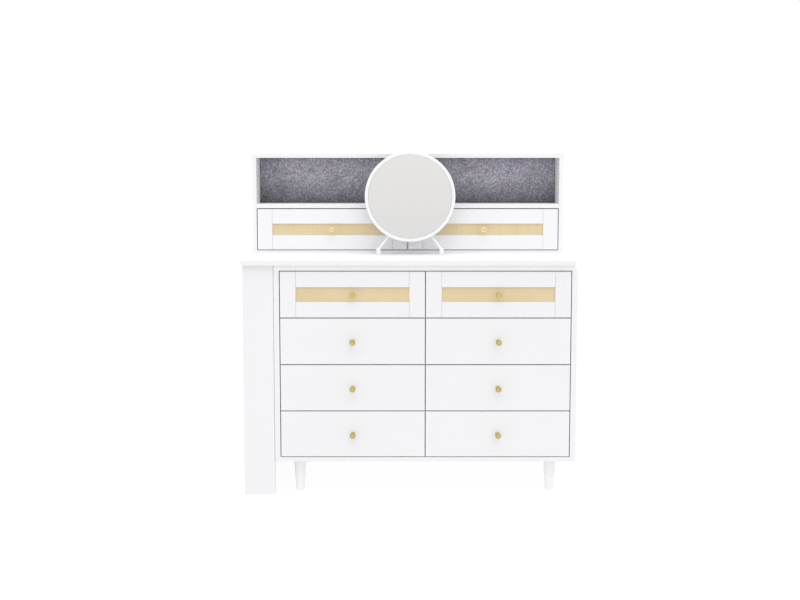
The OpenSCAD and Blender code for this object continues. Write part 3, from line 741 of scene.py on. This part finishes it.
def fuzz_at(x, z):
    """The height of the felt's fuzz, from about -1 to 1."""
    coarse = noise.noise(Vector((x, FUZZ_PLANE, z)) * FUZZ_SCALE)
    return coarse + FINE_FUZZ_SHARE * noise.noise(Vector((x, FINE_FUZZ_PLANE, z)) * FINE_FUZZ_SCALE)


def felt_covering():
    """The felt, pulled over its panel: a slightly fuzzy face and rolled edges."""
    low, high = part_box("felt_panel")
    across = round((high.x - low.x) / FELT_CELL)
    up = round((high.z - low.z) / FELT_CELL)
    bm = bmesh.new()
    grid = []
    for k in range(up + 1):
        z = low.z + (high.z - low.z) * k / up
        line = []
        for i in range(across + 1):
            x = low.x + (high.x - low.x) * i / across
            inside = min(x - low.x, high.x - x, z - low.z, high.z - z)
            t = max(0.0, 1 - inside / FELT_ROLL)
            y = low.y + FELT_SINK + FELT_ROLL * (1 - math.sqrt(max(0.0, 1 - t * t)))
            line.append(bm.verts.new((x, y + FUZZ * fuzz_at(x, z), z)))
        grid.append(line)
    for lower, upper in zip(grid, grid[1:]):
        for i in range(across):
            bm.faces.new((lower[i], lower[i + 1], upper[i + 1], upper[i]))
    rim = grid[0] + [line[-1] for line in grid[1:]]
    rim += grid[-1][-2::-1] + [line[0] for line in grid[-2:0:-1]]
    back = [bm.verts.new((v.co.x, high.y, v.co.z)) for v in rim]
    for a in range(len(rim)):
        b = (a + 1) % len(rim)
        bm.faces.new((rim[b], rim[a], back[a], back[b]))
    bm.faces.new(back)
    piece("felt_covering", mesh_from("felt_panel", bm), "felt_panel")


# Mirror and its stand

CAP_TOP_EDGE = 2.5 * MM
CAP_FOOT_EDGE = 1.5 * MM
CAP_SLIM = 0.6 * MM
CAP_TURNS = 48
MIRROR_TURNS = 160
MIRROR_DEPTH = 10 * MM
RIM = 11.7 * MM
RIM_OVERLAP = 0.3 * MM
RIM_LIP_ROUND = 0.6 * MM
RIM_FACE_ROUND = 3.2 * MM
RIM_FACE_STEPS = 8
RIM_BACK_ROUND = 2 * MM
GLASS_SEAT = 7.5 * MM
GLASS_BEVEL = 9 * MM
GLASS_BEVEL_DROP = 0.7 * MM
GLASS_EDGE = 0.2 * MM
LUG_HALF = 8 * MM
LUG_R = 7 * MM
LUG_BORE_R = 3.06 * MM
LUG_STEPS = 16
PIVOT = Vector(next(joint["pos_m"] for joint in frame["joints"] if joint["name"] == "mirror_tilt"))


def foot_caps():
    """The caps on the feet of the mirror's stand, well rounded and a little slimmer at the top."""
    low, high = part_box("mirror_foot_caps")
    radius = (high.y - low.y) / 2
    height = high.z - low.z
    top_r = radius - CAP_SLIM
    profile = [(0.0, 0.0)] + arc((radius - CAP_FOOT_EDGE, CAP_FOOT_EDGE), CAP_FOOT_EDGE, 270, 360)
    profile += arc((top_r - CAP_TOP_EDGE, height - CAP_TOP_EDGE), CAP_TOP_EDGE, 0, 90)
    profile += [(0.0, height)]
    bm = bmesh.new()
    for x in (low.x + radius, high.x - radius):
        lathe(bm, profile, (x, low.y + radius, low.z), UPWARD, CAP_TURNS)
    turned_piece("rounded_foot_caps", bm, "mirror_foot_caps")


def half_turn(radius, way=1):
    """Points (y, z) of half a circle from its foot to its top, through +y, or -y for a way of -1."""
    angles = (math.radians(-90 + 180 * k / LUG_STEPS) for k in range(LUG_STEPS + 1))
    return [(way * radius * math.cos(a), radius * math.sin(a)) for a in angles]


def beside_pivot(bm, x, points):
    """Vertices at (y, z) points round the pivot, a distance x beside it."""
    return [bm.verts.new(PIVOT + Vector((x, y, z))) for y, z in points]


def add_lug(bm, back):
    """The lug that the stand's bolt goes through, from the mirror's back to its own round end."""
    reach = PIVOT.y - back
    outline = [(-reach, -LUG_R)] + half_turn(LUG_R) + [(-reach, LUG_R)]
    cheeks = [(x, beside_pivot(bm, x, outline)) for x in (-LUG_HALF, LUG_HALF)]
    left, right = cheeks[0][1], cheeks[1][1]
    for k in range(len(outline)):
        m = (k + 1) % len(outline)
        bm.faces.new((left[k], left[m], right[m], right[k]))
    for x, cheek in cheeks:
        outer = beside_pivot(bm, x, half_turn(LUG_BORE_R))
        inner = beside_pivot(bm, x, half_turn(LUG_BORE_R, -1)[1:-1])
        for k in range(LUG_STEPS):
            bm.faces.new((cheek[k + 1], cheek[k + 2], outer[k + 1], outer[k]))
        bm.faces.new([cheek[0], cheek[1], outer[0]] + inner + [outer[-1], cheek[-2], cheek[-1]])


def mirror_rim():
    """The rim, its back plate and the lug."""
    low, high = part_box("mirror_frame")
    radius = (high.x - low.x) / 2
    centre = middle_of("mirror_frame")
    face = Vector((centre.x, low.y, centre.z))
    lip = radius - RIM + RIM_OVERLAP
    # Heights run backwards from the face
    profile = [(lip, GLASS_SEAT), (lip, RIM_LIP_ROUND)]
    profile += arc((lip + RIM_LIP_ROUND, RIM_LIP_ROUND), RIM_LIP_ROUND, 180, 270)
    profile += [(radius - RIM_FACE_ROUND, 0.0)]
    profile += arc((radius - RIM_FACE_ROUND, RIM_FACE_ROUND), RIM_FACE_ROUND, 270, 360, RIM_FACE_STEPS)
    profile += arc((radius - RIM_BACK_ROUND, MIRROR_DEPTH - RIM_BACK_ROUND), RIM_BACK_ROUND, 0, 90)
    profile += [(radius / 2, MIRROR_DEPTH), (0.0, MIRROR_DEPTH)]
    seat = [(lip, GLASS_SEAT), (radius / 2, GLASS_SEAT), (0.0, GLASS_SEAT)]
    bm = bmesh.new()
    lathe(bm, profile, face, BACKWARD, MIRROR_TURNS)
    lathe(bm, seat, face, BACKWARD, MIRROR_TURNS)
    add_lug(bm, face.y + MIRROR_DEPTH)
    turned_piece("mirror_rim", bm, "mirror_frame")


def mirror_pane():
    """The glass, with a shallow bevel round its face."""
    low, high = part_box("mirror_glass")
    radius = (high.x - low.x) / 2
    thick = high.y - low.y
    centre = middle_of("mirror_frame")
    profile = [(0.0, 0.0), (radius - GLASS_BEVEL, 0.0), (radius - GLASS_EDGE, GLASS_BEVEL_DROP),
               (radius, GLASS_BEVEL_DROP + GLASS_EDGE), (radius, thick), (0.0, thick)]
    bm = bmesh.new()
    lathe(bm, profile, (centre.x, low.y, centre.z), BACKWARD, MIRROR_TURNS)
    turned_piece("silvered_glass", bm, "mirror_glass")


simple_boards()
drawer_fronts()
for drawer in CANED:
    woven_cane(drawer)
for drawer in CANED + PLAIN:
    turned_knob(drawer)
    knob_screw(drawer)
turned_feet()
felt_covering()
foot_caps()
mirror_rim()
mirror_pane()


# Floor, light and camera

FLOOR_SIDE = 60.0
FLOOR_CELLS = 8
TOP_LIGHT_SPREAD = 60.0
CAMERA = (-0.0311, -3.2635, 1.1164)
PITCH = 4.5
LENS = 42.53
SENSOR_WIDTH = 36.0
HORIZON_SHIFT = -0.0837


def stage():
    """The floor."""
    bm = bmesh.new()
    bmesh.ops.create_grid(bm, x_segments=FLOOR_CELLS, y_segments=FLOOR_CELLS, size=FLOOR_SIDE / 2)
    floor = bpy.data.objects.new("floor", mesh_from("floor", bm))
    floor.data.materials.append(pale_floor("pale_floor"))
    bpy.context.scene.collection.objects.link(floor)


def lights():
    """A white world all round, and one broad soft light from above."""
    world = bpy.data.worlds.new("studio")
    world.use_nodes = True
    background = world.node_tree.nodes["Background"]
    background.inputs["Color"].default_value = (1.0, 1.0, 1.0, 1)
    background.inputs["Strength"].default_value = WORLD_LIGHT
    bpy.context.scene.world = world
    light = bpy.data.lights.new("top_light", "SUN")
    light.energy = TOP_LIGHT
    light.angle = math.radians(TOP_LIGHT_SPREAD)
    lamp = bpy.data.objects.new("top_light", light)
    lamp.rotation_euler = TOP_LIGHT_WAY.to_track_quat("-Z", "Y").to_euler()
    bpy.context.scene.collection.objects.link(lamp)


def camera():
    """The photograph's viewpoint, pitched down a little so that its shift stays small."""
    data = bpy.data.cameras.new("camera")
    data.sensor_width = SENSOR_WIDTH
    data.lens = LENS
    data.shift_y = HORIZON_SHIFT
    obj = bpy.data.objects.new("camera", data)
    obj.location = CAMERA
    obj.rotation_euler = (math.radians(90 - PITCH), 0, 0)
    bpy.context.scene.collection.objects.link(obj)
    bpy.context.scene.camera = obj


stage()
lights()
camera()
bpy.context.scene.view_settings.view_transform = "Standard"
